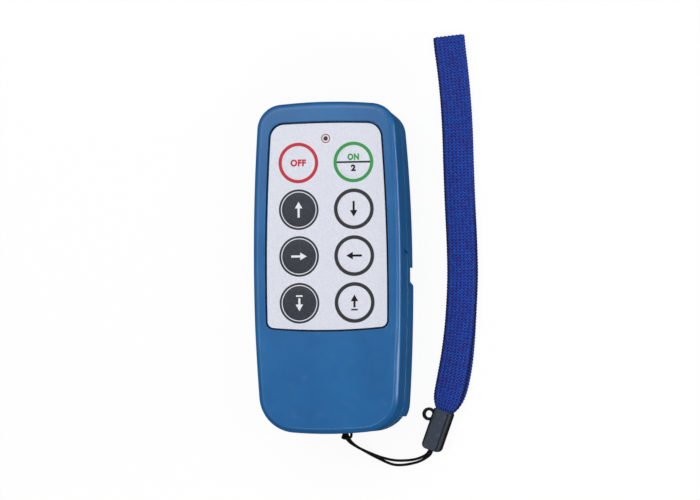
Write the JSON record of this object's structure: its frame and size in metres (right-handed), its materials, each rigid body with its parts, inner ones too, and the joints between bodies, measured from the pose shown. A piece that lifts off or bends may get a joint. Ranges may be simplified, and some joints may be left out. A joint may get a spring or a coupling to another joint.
{
  "type": "crane radio remote control",
  "caption": "Hand-held crane radio remote in a blue plastic case with a silver keypad of round film keys, a battery cover and a webbing wrist strap on a cord.",
  "frame": {"origin": "middle of the case's outline, on the surface that its back rests on", "axes": "+Z out of the keypad, +Y to the end with the indicator, +X to the right seen from the keypad"},
  "size_m": [0.0847, 0.1701, 0.028],
  "materials": {
    "case_blue": "satin",
    "silver_film": "satin",
    "dark_film": "satin",
    "dark_lens": "gloss",
    "seal_rubber": "matte",
    "screw_steel": "satin",
    "board": "satin",
    "switch_black": "matte",
    "shield_can": "satin",
    "chip_black": "matte",
    "capacitor_sleeve": "gloss",
    "antenna_brass": "satin",
    "diode_red": "gloss",
    "cell_jacket": "gloss",
    "contact_steel": "satin",
    "cord_black": "matte",
    "clamp_black": "satin",
    "webbing_blue": "matte",
    "plunger_white": "matte"
  },
  "bodies": {
    "case": {"front_shell": "case_blue", "rear_shell": "case_blue", "keypad_sheet": "silver_film", "indicator_lens": "dark_lens", "case_seal": "seal_rubber", "case_screws": "screw_steel", "circuit_board": "board", "board_screws": "screw_steel", "switch_housings": "switch_black", "radio_module": "shield_can", "microcontroller": "chip_black", "memory_chip": "chip_black", "crystal": "shield_can", "capacitors": "capacitor_sleeve", "antenna_coil": "antenna_brass", "status_diode": "diode_red", "battery_1": "cell_jacket", "battery_2": "cell_jacket", "battery_springs": "contact_steel", "battery_plates": "contact_steel", "lanyard_pin": "screw_steel", "lanyard_cord": "cord_black", "clamp_body": "clamp_black", "clamp_cover": "clamp_black", "wrist_strap": "webbing_blue"},
    "stop_key": {"stop_film_disc": "silver_film", "stop_plunger": "plunger_white", "stop_switch_stem": "switch_black"},
    "start_key": {"start_film_disc": "silver_film", "start_plunger": "plunger_white", "start_switch_stem": "switch_black"},
    "up_key": {"up_film_disc": "dark_film", "up_plunger": "plunger_white", "up_switch_stem": "switch_black"},
    "down_key": {"down_film_disc": "silver_film", "down_plunger": "plunger_white", "down_switch_stem": "switch_black"},
    "east_key": {"east_film_disc": "dark_film", "east_plunger": "plunger_white", "east_switch_stem": "switch_black"},
    "west_key": {"west_film_disc": "silver_film", "west_plunger": "plunger_white", "west_switch_stem": "switch_black"},
    "south_key": {"south_film_disc": "dark_film", "south_plunger": "plunger_white", "south_switch_stem": "switch_black"},
    "north_key": {"north_film_disc": "silver_film", "north_plunger": "plunger_white", "north_switch_stem": "switch_black"},
    "battery_cover": {"battery_cover": "case_blue"}
  },
  "joints": [
    {"name": "stop_press", "type": "slide", "parent": "case", "child": "stop_key", "axis": [0, 0, -1], "range_m": [0, 0.0005], "stiffness_N_per_m": 600, "springref_m": -0.0012},
    {"name": "start_press", "type": "slide", "parent": "case", "child": "start_key", "axis": [0, 0, -1], "range_m": [0, 0.0005], "stiffness_N_per_m": 600, "springref_m": -0.0012},
    {"name": "up_press", "type": "slide", "parent": "case", "child": "up_key", "axis": [0, 0, -1], "range_m": [0, 0.0005], "stiffness_N_per_m": 600, "springref_m": -0.0012},
    {"name": "down_press", "type": "slide", "parent": "case", "child": "down_key", "axis": [0, 0, -1], "range_m": [0, 0.0005], "stiffness_N_per_m": 600, "springref_m": -0.0012},
    {"name": "east_press", "type": "slide", "parent": "case", "child": "east_key", "axis": [0, 0, -1], "range_m": [0, 0.0005], "stiffness_N_per_m": 600, "springref_m": -0.0012},
    {"name": "west_press", "type": "slide", "parent": "case", "child": "west_key", "axis": [0, 0, -1], "range_m": [0, 0.0005], "stiffness_N_per_m": 600, "springref_m": -0.0012},
    {"name": "south_press", "type": "slide", "parent": "case", "child": "south_key", "axis": [0, 0, -1], "range_m": [0, 0.0005], "stiffness_N_per_m": 600, "springref_m": -0.0012},
    {"name": "north_press", "type": "slide", "parent": "case", "child": "north_key", "axis": [0, 0, -1], "range_m": [0, 0.0005], "stiffness_N_per_m": 600, "springref_m": -0.0012},
    {"name": "cover_tilt", "type": "hinge", "parent": "case", "child": "battery_cover", "pos_m": [0, -0.0582, 0.0008], "axis": [-1, 0, 0], "range_deg": [0, 40]}
  ]
}
